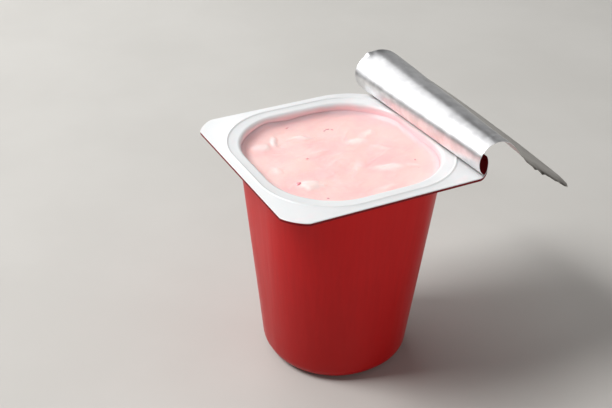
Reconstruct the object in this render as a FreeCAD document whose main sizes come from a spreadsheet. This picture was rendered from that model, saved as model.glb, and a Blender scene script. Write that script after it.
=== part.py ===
"""Square thermoformed yogurt pot with its foil lid peeled back, as a parametric FreeCAD document.

Units are millimetres and degrees. +Z is up, and the origin is the centre of the pot's flat base.
The foil stays sealed along the flange's +X side and curls over it, so its free tail hangs out to +X.
"""
import FreeCAD, Part
import Sketcher
import math
import os

Vector = FreeCAD.Vector
doc = FreeCAD.newDocument("YogurtPot")

# ---------------------------------------------------------------- sizes
# Widths are across flats, and a side's flat is its straight stretch between two corner arcs.
SIZES = {
    # the pot
    "PotHeight": 67.6,
    "BaseWidth": 43.0,
    "BaseSideFlat": 1.0,
    "BodyTopWidth": 53.8,
    "BodyTopSideFlat": 14.0,
    "WallThickness": 0.9,
    "FloorThickness": 1.0,
    "HeelRadius": 4.7,
    "LipRadius": 1.2,
    # the ring groove pressed into the underside of the base
    "BaseGrooveInset": 2.8,
    "BaseGrooveWidth": 2.4,
    "BaseGrooveDepth": 0.4,
    # the square flange: one moulded corner, and three where it was snapped from its neighbours
    "FlangeOverhang": 5.1,
    "FlangeThickness": 1.0,
    "PackCornerRadius": 21.3,
    "SnapCornerLeg": 6.0,
    "SnapCornerBow": 0.9,
    # the sealing bead on the flange, set in from its edge
    "BeadInset": 2.0,
    "BeadCornerRadius": 21.3,
    "BeadLand": 1.2,
    "BeadHeight": 0.3,
    # the yogurt, below the flange's top
    "HeadSpace": 3.9,
    "SwirlHeight": 0.45,
    "SwirlLength": 17.0,
    # the foil: it bends up off the seal, curls over and runs out in a nearly flat tail
    "FoilThickness": 0.25,
    "FreeEdgeInset": 5.0,
    "SealedStrip": 4.7,
    "PeelSkew": 1.25,
    "BendRadius": 2.4,
    "BendTurn": 17.2,
    "CurlRadius": 4.4,
    "CurlTurn": 108.0,
    "CrownRadius": 7.7,
    "CrownTurn": 58.5,
    "ShoulderRadius": 10.2,
    "ShoulderTurn": 39.5,
    "TailRadius": 162.0,
    # how the curl changes along its own length
    "CurlTaper": 0.2,
    "CurlDrop": 1.3,
}

sheet = doc.addObject("Spreadsheet::Sheet", "Sizes")
for row, (alias, number) in enumerate(SIZES.items(), start=1):
    sheet.set(f"A{row}", alias)
    sheet.set(f"B{row}", str(number))
    sheet.setAlias(f"B{row}", alias)
doc.recompute()


def cell(alias):
    """A size as it is written in an expression."""
    return f"Sizes.{alias}"


# Sizes that follow from others, as expressions. A half is a width's distance from the axis.
HEIGHT = cell("PotHeight")
FLOOR = cell("FloorThickness")
WALL = cell("WallThickness")
BASE_HALF = f"({cell('BaseWidth')} / 2)"
BASE_CORNER = f"({BASE_HALF} - {cell('BaseSideFlat')} / 2)"
TOP_HALF = f"({cell('BodyTopWidth')} / 2)"
TOP_CORNER = f"({TOP_HALF} - {cell('BodyTopSideFlat')} / 2)"
FLANGE_HALF = f"({TOP_HALF} + {cell('FlangeOverhang')})"
BEAD_HALF = f"({FLANGE_HALF} - {cell('BeadInset')})"
PEEL_LINE = f"({FLANGE_HALF} - {cell('SealedStrip')})"
INNER_HEEL = f"({cell('HeelRadius')} - {WALL})"
GROOVE_RADIUS = f"({BASE_HALF} - {cell('HeelRadius')} - {cell('BaseGrooveInset')})"


def value(expression):
    """The number that an expression in the sheet's sizes stands for."""
    return float(sheet.evalExpression(expression))


def at_height(base, top, height):
    """Expression for a size that runs evenly from the base up to the pot's top, at a height."""
    return f"({base} + ({top} - {base}) * ({height}) / {HEIGHT})"


def evenly(first, last, step):
    """Places from first to last, about a step apart."""
    count = max(1, round(abs(last - first) / step))
    return [first + (last - first) * i / count for i in range(count + 1)]


# ---------------------------------------------------------------- sketches
SKETCH_ORIGIN = (-1, 1)
START, END, CENTRE = 1, 2, 3
CORNERS = ((1, 1), (-1, 1), (-1, -1), (1, -1))


def new_sketch(body, name, height):
    """A sketch on the body's own XY plane, lifted to a height given as an expression."""
    sketch = body.newObject("Sketcher::SketchObject", name)
    plane = next(p for p in body.Origin.OriginFeatures if p.Role == "XY_Plane")
    sketch.AttachmentSupport = [(plane, "")]
    sketch.MapMode = "FlatFace"
    sketch.setExpression("AttachmentOffset.Base.z", height)
    return sketch


def bind(sketch, name, expression, kind, *arguments):
    """Adds a dimension to a sketch and binds it to an expression."""
    index = sketch.addConstraint(Sketcher.Constraint(kind, *arguments, value(expression)))
    sketch.renameConstraint(index, name)
    sketch.setExpression(f"Constraints.{name}", expression)


def set_out(sketch, name, expression, axis, sign, geometry, point):
    """Holds a point at a distance from the sketch's origin, along X or Y, on the side of the sign."""
    ends = (*SKETCH_ORIGIN, geometry, point) if sign > 0 else (geometry, point, *SKETCH_ORIGIN)
    bind(sketch, name, expression, f"Distance{axis}", *ends)


def add_sides(sketch, prefix, half, cuts):
    """Draws a square's four sides counter-clockwise from +Y, each stopping short of the corners.

    half is the distance of each side from the centre, and cuts says how far short each corner of
    CORNERS is left open, all as expressions. Returns the four lines.
    """
    reach = value(half)
    inner = [reach - value(cut) for cut in cuts]
    ends = (
        ((inner[0], reach), (-inner[1], reach)),
        ((-reach, inner[1]), (-reach, -inner[2])),
        ((-inner[2], -reach), (inner[3], -reach)),
        ((reach, -inner[3]), (reach, inner[0])),
    )
    sides = [
        sketch.addGeometry(Part.LineSegment(Vector(*first, 0), Vector(*last, 0)), False)
        for first, last in ends
    ]
    places = (("Horizontal", "Y", 1), ("Vertical", "X", -1), ("Horizontal", "Y", -1), ("Vertical", "X", 1))
    for number, (side, (direction, axis, sign)) in enumerate(zip(sides, places)):
        sketch.addConstraint(Sketcher.Constraint(direction, side))
        set_out(sketch, f"{prefix}Side{number}", half, axis, sign, side, START)
    return sides


def add_round_corner(sketch, corner, half, radius, sides):
    """Joins two sides with a tangent quarter circle at a corner, and returns the arc."""
    across, up = CORNERS[corner]
    centre = value(half) - value(radius)
    circle = Part.Circle(Vector(across * centre, up * centre, 0), Vector(0, 0, 1), value(radius))
    first = corner * math.pi / 2
    arc = sketch.addGeometry(Part.ArcOfCircle(circle, first, first + math.pi / 2), False)
    sketch.addConstraint(Sketcher.Constraint("Tangent", sides[corner - 1], END, arc, START))
    sketch.addConstraint(Sketcher.Constraint("Tangent", arc, END, sides[corner], START))
    return arc


def add_rounded_square(sketch, prefix, half, radius):
    """Adds a square centred on the origin whose four corners share one radius."""
    sides = add_sides(sketch, prefix, half, [radius] * 4)
    arcs = [add_round_corner(sketch, corner, half, radius, sides) for corner in range(4)]
    for arc in arcs[1:]:
        sketch.addConstraint(Sketcher.Constraint("Equal", arcs[0], arc))
    bind(sketch, f"{prefix}Corner", radius, "Radius", arcs[0])


def rounded_square(body, name, height, half, radius):
    """A sketch of one rounded square at a height."""
    sketch = new_sketch(body, name, height)
    add_rounded_square(sketch, "Outline", half, radius)
    return sketch


def add_snap_corner(sketch, corner, half, leg, bow, sides):
    """Joins two sides with the shallow outward arc of a snapped corner."""
    across, up = CORNERS[corner]
    before, after = sides[corner - 1], sides[corner]
    first, last = sketch.getPoint(before, END), sketch.getPoint(after, START)
    outward = Vector(across, up, 0).normalize()
    middle = (first + last) * 0.5 + outward * value(bow)
    arc = sketch.addGeometry(Part.Arc(first, middle, last), False)
    sketch.addConstraint(Sketcher.Constraint("Coincident", before, END, arc, START))
    sketch.addConstraint(Sketcher.Constraint("Coincident", arc, END, after, START))
    inner = f"{half} - {leg}"
    for side, point in ((before, END), (after, START)):
        level = side in (sides[0], sides[2])
        axis, sign = ("X", across) if level else ("Y", up)
        set_out(sketch, f"Snap{corner}Side{side}", inner, axis, sign, side, point)
    bind(sketch, f"Snap{corner}Radius", f"{leg} ^ 2 / (4 * {bow}) + {bow} / 2", "Radius", arc)


def flange_outline(body, name, height):
    """A sketch of the flange: the moulded corner at +X+Y, and the three snapped ones."""
    pack, leg, bow = cell("PackCornerRadius"), cell("SnapCornerLeg"), cell("SnapCornerBow")
    sketch = new_sketch(body, name, height)
    sides = add_sides(sketch, "Flange", FLANGE_HALF, [pack, leg, leg, leg])
    moulded = add_round_corner(sketch, 0, FLANGE_HALF, pack, sides)
    bind(sketch, "MouldedCorner", pack, "Radius", moulded)
    for corner in (1, 2, 3):
        add_snap_corner(sketch, corner, FLANGE_HALF, leg, bow, sides)
    return sketch


# ---------------------------------------------------------------- solid features
def loft(body, kind, name, first, second):
    """A straight-sided loft from one sketch to another, added to the body or cut from it."""
    feature = body.newObject(f"PartDesign::{kind}Loft", name)
    feature.Profile = first
    feature.Sections = [second]
    feature.Ruled = False
    doc.recompute()
    return feature


def pad(body, kind, name, sketch, length):
    """Pads or pockets a sketch upwards by a length given as an expression."""
    feature = body.newObject(f"PartDesign::{kind}", name)
    feature.Profile = sketch
    feature.setExpression("Length", length)
    feature.Reversed = kind == "Pocket"
    doc.recompute()
    return feature


def fillet(body, name, radius, chosen):
    """Rounds those edges of the body's last feature that chosen(edge) picks."""
    base = body.Tip
    names = [f"Edge{i}" for i, edge in enumerate(base.Shape.Edges, start=1) if chosen(edge)]
    feature = body.newObject("PartDesign::Fillet", name)
    feature.Base = (base, names)
    feature.setExpression("Radius", radius)
    doc.recompute()
    return feature


def lies_level(edge, height, reach):
    """Whether an edge lies in the horizontal plane at a height, all within reach of the axis."""
    box = edge.BoundBox
    near = max(abs(box.XMin), abs(box.XMax), abs(box.YMin), abs(box.YMax)) < reach
    return abs(box.ZMin - height) < 0.01 and abs(box.ZMax - height) < 0.01 and near




def cavity_sketch(body, name, height):
    """The inside of the pot at a height: the outside there, less the wall."""
    half = f"{at_height(BASE_HALF, TOP_HALF, height)} - {WALL}"
    radius = f"{at_height(BASE_CORNER, TOP_CORNER, height)} - {WALL}"
    return rounded_square(body, name, height, half, radius)


def make_cavity():
    """The space inside the pot, as a solid: it hollows the pot, and the yogurt fills it."""
    body = doc.addObject("PartDesign::Body", "Cavity")
    high, low = cavity_sketch(body, "CavityMouth", HEIGHT), cavity_sketch(body, "CavityFloor", FLOOR)
    loft(body, "Additive", "CavityBlock", high, low)
    at_floor, reach = value(FLOOR), value(TOP_HALF)
    fillet(body, "InnerHeel", INNER_HEEL, lambda edge: lies_level(edge, at_floor, reach))
    return body


def make_pot(cavity):
    """The pot: a tapered cup, its flange with the sealing bead, and the groove under its base."""
    body = doc.addObject("PartDesign::Body", "Pot")
    body.Label = "pot"
    base = rounded_square(body, "BaseOutline", "0", BASE_HALF, BASE_CORNER)
    top = rounded_square(body, "BodyTopOutline", HEIGHT, TOP_HALF, TOP_CORNER)
    loft(body, "Additive", "Cup", base, top)
    under_flange = f"{HEIGHT} - {cell('FlangeThickness')}"
    plate = flange_outline(body, "FlangeOutline", under_flange)
    pad(body, "Pad", "Flange", plate, cell("FlangeThickness"))
    mouth = value(TOP_HALF)
    fillet(body, "Heel", cell("HeelRadius"), lambda edge: lies_level(edge, 0, mouth))
    hollow = body.newObject("PartDesign::Boolean", "Hollow")
    hollow.Type = "Cut"
    hollow.setObjects([cavity])
    doc.recompute()
    at_rim = value(HEIGHT)
    fillet(body, "Lip", cell("LipRadius"), lambda edge: lies_level(edge, at_rim, mouth))
    bead = new_sketch(body, "BeadOutline", HEIGHT)
    land, corner = cell("BeadLand"), cell("BeadCornerRadius")
    add_rounded_square(bead, "Outer", BEAD_HALF, corner)
    add_rounded_square(bead, "Inner", f"{BEAD_HALF} - {land}", f"{corner} - {land}")
    pad(body, "Pad", "Bead", bead, cell("BeadHeight"))
    groove = new_sketch(body, "GrooveOutline", "0")
    for name, sign in (("GrooveOuter", "+"), ("GrooveInner", "-")):
        radius = f"{GROOVE_RADIUS} {sign} {cell('BaseGrooveWidth')} / 2"
        circle = Part.Circle(Vector(0, 0, 0), Vector(0, 0, 1), value(radius))
        ring = groove.addGeometry(circle, False)
        groove.addConstraint(Sketcher.Constraint("Coincident", ring, CENTRE, *SKETCH_ORIGIN))
        bind(groove, name, radius, "Radius", ring)
    uncut = body.Shape.Volume
    pad(body, "Pocket", "BaseGroove", groove, cell("BaseGrooveDepth"))
    cut = uncut - body.Shape.Volume
    ring_area = 2 * math.pi * value(GROOVE_RADIUS) * value(cell("BaseGrooveWidth"))
    if abs(cut - ring_area * value(cell("BaseGrooveDepth"))) > 0.01 * ring_area:
        raise RuntimeError("the base groove didn't cut its own volume")
    return body


# ---------------------------------------------------------------- the yogurt
def swirl(x, y):
    """Height of the spooned surface above its mean level: broad soft waves that cross each other."""
    wave = 2 * math.pi / value(cell("SwirlLength"))
    bent = x + 3.0 * math.sin(0.6 * wave * y)
    broad = math.sin(wave * bent + 0.5) * math.cos(0.7 * wave * y - 0.4)
    fine = math.sin(1.7 * wave * (0.6 * x - 0.8 * y) + 1.1)
    return value(cell("SwirlHeight")) * (0.7 * broad + 0.3 * fine)


def make_yogurt(cavity):
    """The yogurt fills the cavity up to its swirled surface."""
    level = value(f"{HEIGHT} - {cell('HeadSpace')}")
    places = evenly(-value(TOP_HALF), value(TOP_HALF), 3.0)
    surface = Part.BSplineSurface()
    surface.interpolate([[Vector(x, y, level + swirl(x, y)) for y in places] for x in places])
    below = surface.toShape().extrude(Vector(0, 0, -value(HEIGHT)))
    block = doc.addObject("Part::Feature", "BelowSurface")
    block.Shape = below
    block.Placement = FreeCAD.Placement()

    yogurt = doc.addObject("Part::MultiCommon", "Yogurt")
    yogurt.Label = "yogurt"
    yogurt.Shapes = [cavity, block]
    doc.recompute()
    return yogurt


# ---------------------------------------------------------------- the foil lid
def curl_arcs():
    """The curl's arcs in order, as (radius, turn in degrees), where a negative radius bends back."""
    names = ("Bend", "Curl", "Crown", "Shoulder")
    arcs = [(value(cell(f"{name}Radius")), value(cell(f"{name}Turn"))) for name in names]
    return arcs + [(-value(cell("TailRadius")), -90.0)]


def curl_point(distance):
    """Where the foil lies after a distance along it from the peel line.

    Returns the offset towards +X, the height, and the turn so far in radians: at a turn of 0 the
    foil heads to -X, at 90 degrees up, and at 180 degrees back to +X.
    """
    offset, height, turn = 0.0, 0.0, 0.0
    for radius, degrees in curl_arcs():
        length = radius * math.radians(degrees)
        step = min(distance, length)
        after = turn + step / radius
        offset -= radius * (math.sin(after) - math.sin(turn))
        height += radius * (math.cos(turn) - math.cos(after))
        turn, distance = after, distance - step
    return offset, height, turn


def curl_starts():
    """Distances from the peel line at which one arc gives way to the next."""
    starts = [0.0]
    for radius, degrees in curl_arcs()[:-1]:
        starts.append(starts[-1] + radius * math.radians(degrees))
    return starts


def smooth_step(share):
    """Runs softly from 0 to 1 as share does, and stays at 1 beyond."""
    share = min(share, 1.0)
    return share**2 * (3 - 2 * share)


def lid_point(x, y, side):
    """A point of the flat lid, carried to its place on the peeled one.

    side is -0.5 on the face that was the underside, which the curl turns outwards, and +0.5 on the
    printed face.
    """
    skew = math.radians(value(cell("PeelSkew")))
    along_line = Vector(-math.sin(skew), math.cos(skew), 0)
    across_line = Vector(math.cos(skew), math.sin(skew), 0)
    start = Vector(value(PEEL_LINE), 0, 0)
    flat = Vector(x, y, 0)
    peeled = -(flat - start).dot(across_line)
    along = (flat - start).dot(along_line)
    half = value(FLANGE_HALF)
    scale = 1 + value(cell("CurlTaper")) * along / half
    if peeled <= 0:
        offset, height, turn = -peeled, 0.0, 0.0
        spot = flat
    else:
        offset, height, turn = curl_point(peeled / scale)
        spot = flat + across_line * (peeled + offset * scale)
        lifted = smooth_step(peeled / (2 * value(cell("CurlRadius"))))
        height = height * scale - value(cell("CurlDrop")) * along / half * lifted
    thick = value(cell("FoilThickness"))
    seat = value(f"{HEIGHT} + {cell('BeadHeight')}") + thick / 2
    printed_side = across_line * math.sin(turn) + Vector(0, 0, math.cos(turn))
    return spot + Vector(0, 0, seat + height) + printed_side * (side * thick)


def lid_edge(x, side):
    """How far the flat lid reaches along Y at x, on its -Y side (-1) or its +Y side (+1)."""
    half = value(FLANGE_HALF)
    if side > 0 and x > 0:
        radius = value(cell("PackCornerRadius"))
        past = max(0.0, x - (half - radius))
        return half - radius + math.sqrt(max(radius**2 - past**2, 0.0))
    leg, bow = value(cell("SnapCornerLeg")), value(cell("SnapCornerBow"))
    reach = x if x > 0 else value(cell("FreeEdgeInset")) - x
    if reach <= half - leg:
        return half
    radius = leg**2 / (4 * bow) + bow / 2
    centre = half - leg / 2 + (bow - radius) / math.sqrt(2)
    return centre + math.sqrt(radius**2 - (reach - centre) ** 2)


def lid_stations():
    """The X places of the flat lid, from its sealed edge to its free edge, at which it is drawn."""
    half, leg, peel = value(FLANGE_HALF), value(cell("SnapCornerLeg")), value(PEEL_LINE)
    free = value(cell("FreeEdgeInset")) - half
    skew_reach = half * math.tan(math.radians(value(cell("PeelSkew"))))
    curl_end = peel - curl_starts()[-1] * (1 + value(cell("CurlTaper"))) - skew_reach
    corner_step, curl_step, tail_step = 1.5, 0.8, 4.0
    places = evenly(half, peel + skew_reach, corner_step)
    places += evenly(peel + skew_reach, curl_end, curl_step)[1:]
    places += evenly(curl_end, free + leg, tail_step)[1:]
    places += evenly(free + leg, free, corner_step)[1:]
    return places


def lid_section(x):
    """The four corners of the sheet's cross-section at one station, going round it."""
    near, far = -lid_edge(x, -1), lid_edge(x, 1)
    return [
        lid_point(x, near, -0.5),
        lid_point(x, far, -0.5),
        lid_point(x, far, 0.5),
        lid_point(x, near, 0.5),
    ]


def ruled_face(first, second, third, fourth):
    """The straight-ruled face between four corners, given in order round it."""
    return Part.makeRuledSurface(Part.makeLine(first, second), Part.makeLine(fourth, third))


def make_foil():
    """The lid: one thin sheet of straight-ruled strips from station to station, closed at its ends."""
    sections = [lid_section(x) for x in lid_stations()]
    faces = [ruled_face(*sections[0]), ruled_face(*sections[-1])]
    for before, after in zip(sections[:-1], sections[1:]):
        for corner in range(4):
            beside = (corner + 1) % 4
            faces.append(ruled_face(before[corner], before[beside], after[beside], after[corner]))
    lid = doc.addObject("Part::Feature", "FoilLid")
    lid.Label = "foil_lid"
    lid.Shape = Part.Solid(Part.Shell(faces))
    lid.Placement = FreeCAD.Placement()
    return lid


# ---------------------------------------------------------------- build and write
cavity = make_cavity()
parts = [make_pot(cavity), make_yogurt(cavity), make_foil()]
doc.recompute()

failed = [o.Label for o in doc.Objects if {"Invalid", "Error"} & set(o.State)]
if failed:
    raise RuntimeError(f"these objects failed: {failed}")
for part in parts:
    if part.Shape.isNull() or not part.Shape.isValid() or len(part.Shape.Solids) != 1:
        raise RuntimeError(f"{part.Label} isn't one valid solid")

os.makedirs("parts", exist_ok=True)
for part in parts:
    part.Shape.exportStep(f"parts/{part.Label}.step")
    box = part.Shape.BoundBox
    print(
        f"{part.Label}: {part.Shape.Volume / 1000:.2f} ml, "
        f"X {box.XMin:.2f} to {box.XMax:.2f}, Y {box.YMin:.2f} to {box.YMax:.2f}, "
        f"Z {box.ZMin:.2f} to {box.ZMax:.2f}"
    )
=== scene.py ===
# %% [markdown]
# # An opened pot of fruit yogurt
# The object is one square pot, snapped off its pack, full of pink yogurt, with the foil lid rolled
# back over one side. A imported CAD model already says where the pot, the yogurt and the foil are. It
# is loaded as a fixed frame, and everything below is built around it, in metres, in the same place.

# %% Load the frame
import math

import bmesh
import bpy
from mathutils import Matrix, Vector, noise


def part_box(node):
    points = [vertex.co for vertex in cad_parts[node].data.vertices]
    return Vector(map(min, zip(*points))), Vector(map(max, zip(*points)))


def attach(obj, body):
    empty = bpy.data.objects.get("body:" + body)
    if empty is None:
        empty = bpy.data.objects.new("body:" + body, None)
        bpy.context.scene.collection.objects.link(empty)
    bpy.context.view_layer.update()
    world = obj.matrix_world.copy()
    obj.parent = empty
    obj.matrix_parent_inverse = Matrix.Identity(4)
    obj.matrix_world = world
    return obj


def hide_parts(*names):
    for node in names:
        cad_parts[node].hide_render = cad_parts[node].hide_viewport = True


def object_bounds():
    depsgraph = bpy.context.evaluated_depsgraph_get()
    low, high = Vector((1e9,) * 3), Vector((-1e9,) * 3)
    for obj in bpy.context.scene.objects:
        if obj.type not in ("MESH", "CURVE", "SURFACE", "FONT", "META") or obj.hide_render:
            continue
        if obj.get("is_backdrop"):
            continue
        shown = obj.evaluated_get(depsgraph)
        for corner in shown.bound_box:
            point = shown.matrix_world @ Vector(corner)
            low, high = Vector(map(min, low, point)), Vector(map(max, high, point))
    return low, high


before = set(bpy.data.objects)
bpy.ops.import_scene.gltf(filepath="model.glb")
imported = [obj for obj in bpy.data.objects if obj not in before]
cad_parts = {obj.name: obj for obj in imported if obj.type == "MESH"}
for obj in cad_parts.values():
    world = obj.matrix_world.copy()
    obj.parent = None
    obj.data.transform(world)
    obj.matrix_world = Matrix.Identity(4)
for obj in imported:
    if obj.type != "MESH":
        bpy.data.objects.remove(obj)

MM = 0.001


def show_box(name, box):
    """Prints the two corners of a box, in mm."""
    print(name, "box, mm:", [[round(value / MM, 2) for value in corner] for corner in box])


cad_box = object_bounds()
pot_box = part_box("pot")
foil_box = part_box("foil_lid")
print("nodes in the frame:", sorted(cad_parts))
show_box("object", cad_box)
show_box("pot", pot_box)
show_box("foil lid", foil_box)

# %% [markdown]
# ## The camera first
# A picture is judged through its camera, so the camera comes before any shape. It could be placed by
# eye, but a long lens from a measured direction and distance gives the same outlines every time. The
# direction is an azimuth round the pot and a height above the table, with a degree of tilt.

# %% Place the camera
AZIMUTH, ELEVATION, TILT = math.radians(27.79), math.radians(31.33), math.radians(1.0)
CAMERA_TARGET = Vector((2.94, 25.88, 33.87)) * MM
CAMERA_DISTANCE = 351.0 * MM
LENS, SENSOR_WIDTH = 64.8, 36.0
NEAREST_SEEN, FARTHEST_SEEN = 0.01, 20.0

backwards = Vector((
    -math.sin(AZIMUTH) * math.cos(ELEVATION),
    -math.cos(AZIMUTH) * math.cos(ELEVATION),
    math.sin(ELEVATION),
))
level_right = Vector((math.cos(AZIMUTH), -math.sin(AZIMUTH), 0))
level_up = backwards.cross(level_right)
right = level_right * math.cos(TILT) + level_up * math.sin(TILT)
up = level_up * math.cos(TILT) - level_right * math.sin(TILT)

bpy.ops.object.select_all(action="DESELECT")
bpy.ops.object.camera_add()
camera = bpy.context.object
camera.name = "table_camera"
camera.data.lens = LENS
camera.data.sensor_width = SENSOR_WIDTH
camera.data.clip_start, camera.data.clip_end = NEAREST_SEEN, FARTHEST_SEEN
turned = Matrix((right, up, backwards)).transposed().to_4x4()
camera.matrix_world = Matrix.Translation(CAMERA_TARGET + backwards * CAMERA_DISTANCE) @ turned
bpy.context.scene.camera = camera
print("camera at, mm:", [round(value / MM, 1) for value in camera.matrix_world.translation])

# %% [markdown]
# ## The table and the light
# The pot stands on a plain pale surface in soft daylight from the left. Small lamps would give hard
# shadows and pin-point highlights, so all the light comes from panels, and bare metal shows each of
# them. The left panel is the strongest and makes the soft shadow to the right. The back panel is what
# the curled foil mirrors as its broad white band. The front panel lights the near sides of the pot,
# the far one keeps the roll's dark band from going black, the top one lights the mouth, and the
# right one lights the foil's tail. The world is a dim grey that only opens the shadows a little.

# %% Lay the table
TABLE_SIDE = 8.0

bpy.ops.object.select_all(action="DESELECT")
bpy.ops.mesh.primitive_plane_add(size=TABLE_SIDE, location=(0, 0, 0))
table = bpy.context.object
table.name = "table"
table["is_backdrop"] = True
print("table sides, m:", [round(side, 1) for side in table.dimensions])

# %% Hang the light panels
POT_MIDDLE = Vector((0, 0, 0.05))
# Panels as (name, direction from the pot, distance, width, height, watts), in metres.
PANELS = (
    ("left_panel", (-0.59, 0.25, 0.80), 1.3, 0.52, 0.52, 16.6),
    ("back_panel", (-0.17, 0.80, 0.47), 0.9, 1.2, 0.65, 3.9),
    ("front_panel", (0.30, -1.00, 0.20), 1.2, 1.4, 0.5, 4.2),
    ("far_panel", (0.62, 0.76, 0.22), 1.4, 1.0, 0.5, 0.5),
    ("top_panel", (0.12, 0.12, 0.98), 1.2, 1.1, 1.2, 1.8),
    ("right_panel", (1.00, -0.20, 0.55), 1.6, 1.3, 0.8, 1.0),
)


def light_panel(name, direction, distance, width, height, watts):
    """Hangs a rectangular light panel in a direction from the pot, facing it."""
    bpy.ops.object.select_all(action="DESELECT")
    bpy.ops.object.light_add(type="AREA")
    panel = bpy.context.object
    panel.name = name
    panel.data.shape = "RECTANGLE"
    panel.data.size, panel.data.size_y = width, height
    panel.data.energy = watts
    away = Vector(direction).normalized()
    panel.location = POT_MIDDLE + away * distance
    panel.rotation_mode = "QUATERNION"
    panel.rotation_quaternion = away.to_track_quat("Z", "Y")
    print(name, "at", [round(value, 2) for value in panel.location], "m,", watts, "W")


for panel_sizes in PANELS:
    light_panel(*panel_sizes)

# %% Dim the world
WORLD_GREY, WORLD_STRENGTH = (0.80, 0.80, 0.80, 1), 0.07

world = bpy.data.worlds.new("studio")
bpy.context.scene.world = world
world.use_nodes = True
backdrop = world.node_tree.nodes["Background"]
backdrop.inputs["Color"].default_value = WORLD_GREY
backdrop.inputs["Strength"].default_value = WORLD_STRENGTH
bpy.context.scene.view_settings.view_transform = "Standard"
print("world strength:", WORLD_STRENGTH)

# %% [markdown]
# ## Rings for the pot
# The pot is drawn from one hot sheet, so its inside and outside are one skin of nearly even
# thickness. A lathe can't make it, because every level of it is a rounded square and not a circle.
# Instead it is a stack of rings: each starts as a square plane, its corners are beveled round, its
# face is deleted, and each ring is bridged to the next. The rings follow the sheet from the middle
# of the base, up the outside, round the flange and down the inside.

# %% A helper that adds one ring
CORNER_STEPS = 24


def edit_mesh():
    """The mesh now being edited, with its numbering up to date."""
    mesh = bmesh.from_edit_mesh(bpy.context.object.data)
    mesh.verts.index_update()
    return mesh


def start_piece(name):
    """Begins an empty mesh object at the origin, in edit mode, whose points can be marked."""
    bpy.ops.object.select_all(action="DESELECT")
    bpy.ops.mesh.primitive_plane_add(size=MM, location=(0, 0, 0))
    piece = bpy.context.object
    piece.name = piece.data.name = name
    bpy.ops.object.mode_set(mode="EDIT")
    bpy.ops.mesh.select_mode(type="VERT")
    bpy.ops.mesh.delete(type="VERT")
    edit_mesh().verts.layers.int.new("ring")
    return piece


def select_points(wanted):
    """Selects the points that wanted(point) picks, with the edges and faces that they complete."""
    bpy.ops.mesh.select_all(action="DESELECT")
    mesh = edit_mesh()
    for point in mesh.verts:
        point.select = wanted(point)
    mesh.select_flush_mode()


def select_rings(*numbers):
    """Selects the points of some rings. Points that belong to no ring yet are marked 0."""
    layer = edit_mesh().verts.layers.int["ring"]
    select_points(lambda point: point[layer] in numbers)


def round_corners(wanted, reach, profile=0.5):
    """Bevels those corners of the newest ring that wanted(point) picks, from a reach away."""
    layer = edit_mesh().verts.layers.int["ring"]
    select_points(lambda point: point[layer] == 0 and wanted(point))
    bpy.ops.mesh.bevel(
        offset_type="OFFSET", offset=reach, segments=CORNER_STEPS, profile=profile,
        affect="VERTICES", clamp_overlap=False,
    )


def mark_ring():
    """Opens the newest ring's face, gives its points the next number, and returns that."""
    select_rings(0)
    bpy.ops.mesh.delete(type="ONLY_FACE")
    mesh = edit_mesh()
    layer = mesh.verts.layers.int["ring"]
    number = 1 + max(point[layer] for point in mesh.verts)
    for point in mesh.verts:
        point[layer] = point[layer] or number
    return number


def add_ring(height, half, corner):
    """Adds a ring, a rounded square in mm, and returns its number."""
    bpy.ops.mesh.select_all(action="DESELECT")
    bpy.ops.mesh.primitive_plane_add(size=2 * half * MM, location=(0, 0, height * MM))
    round_corners(lambda point: True, corner * MM)
    return mark_ring()


def give_finish(material):
    """Gives the selected faces one of the piece's finishes."""
    for face in edit_mesh().faces:
        if face.select:
            face.material_index = material


def bridge(first, second, material):
    """Bridges two rings with faces of one finish."""
    select_rings(first, second)
    bpy.ops.mesh.bridge_edge_loops()
    give_finish(material)


def climb(ring, all_sizes, material, add=add_ring):
    """Adds rings one after another, bridges each to the one before, and returns the last."""
    for sizes in all_sizes:
        after = add(*sizes)
        bridge(ring, after, material)
        ring = after
    print("rings so far:", ring)
    return ring


def close_ring(ring, material):
    """Closes a small ring with a fan of triangles round its middle."""
    select_rings(ring)
    bpy.ops.mesh.edge_face_add()
    bpy.ops.mesh.poke()
    give_finish(material)


# %% [markdown]
# ## The sizes of the pot
# Widths are taken as halves, from the pot's middle to a flat side. The height and the flange come
# from the frame, and the smaller sizes repeat the CAD part's: a wall that leans out by a few
# degrees, a round heel, a soft lip, and a fine raised bead on the flange where the foil was sealed.

# %% Sizes of the pot
BEAD_HEIGHT, FLANGE_THICK = 0.3, 1.0
pot_top_corner = pot_box[1]
RIM = pot_top_corner.z / MM - BEAD_HEIGHT
FLANGE_HALF = pot_top_corner.x / MM
FLANGE_UNDER = RIM - FLANGE_THICK
BASE_HALF, BASE_CORNER = 21.5, 21.0
TOP_HALF, TOP_CORNER = 26.9, 19.9
WALL, FLOOR = 0.9, 1.0
HEEL_RADIUS, LIP_RADIUS = 4.7, 1.2
LEAN = math.atan((TOP_HALF - BASE_HALF) / RIM)
print(f"rim at {RIM:.1f} mm, wall leans {math.degrees(LEAN):.1f} degrees")


def wall_ring(height, inwards=0.0):
    """Half width and corner radius of the tapered wall at a height, set in by a thickness."""
    share = height / RIM
    half = BASE_HALF + (TOP_HALF - BASE_HALF) * share
    corner = BASE_CORNER + (TOP_CORNER - BASE_CORNER) * share
    return half - inwards, corner - inwards


def heel_rings(floor, radius, inwards=0.0, steps=8):
    """Heights, halves and corners round the heel, from the flat floor up to the wall."""
    half, corner = wall_ring(floor, inwards)
    turn = math.pi / 2 - LEAN
    middle = half - radius * math.tan(turn / 2)
    top_half, top_corner = wall_ring(floor + radius * (1 - math.cos(turn)), inwards)
    rings = []
    for step in range(steps + 1):
        angle = turn * step / steps
        here = middle + radius * math.sin(angle)
        flat = (half - corner) + (top_half - top_corner - half + corner) * step / steps
        rings.append((floor + radius * (1 - math.cos(angle)), here, here - flat))
    return rings


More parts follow.
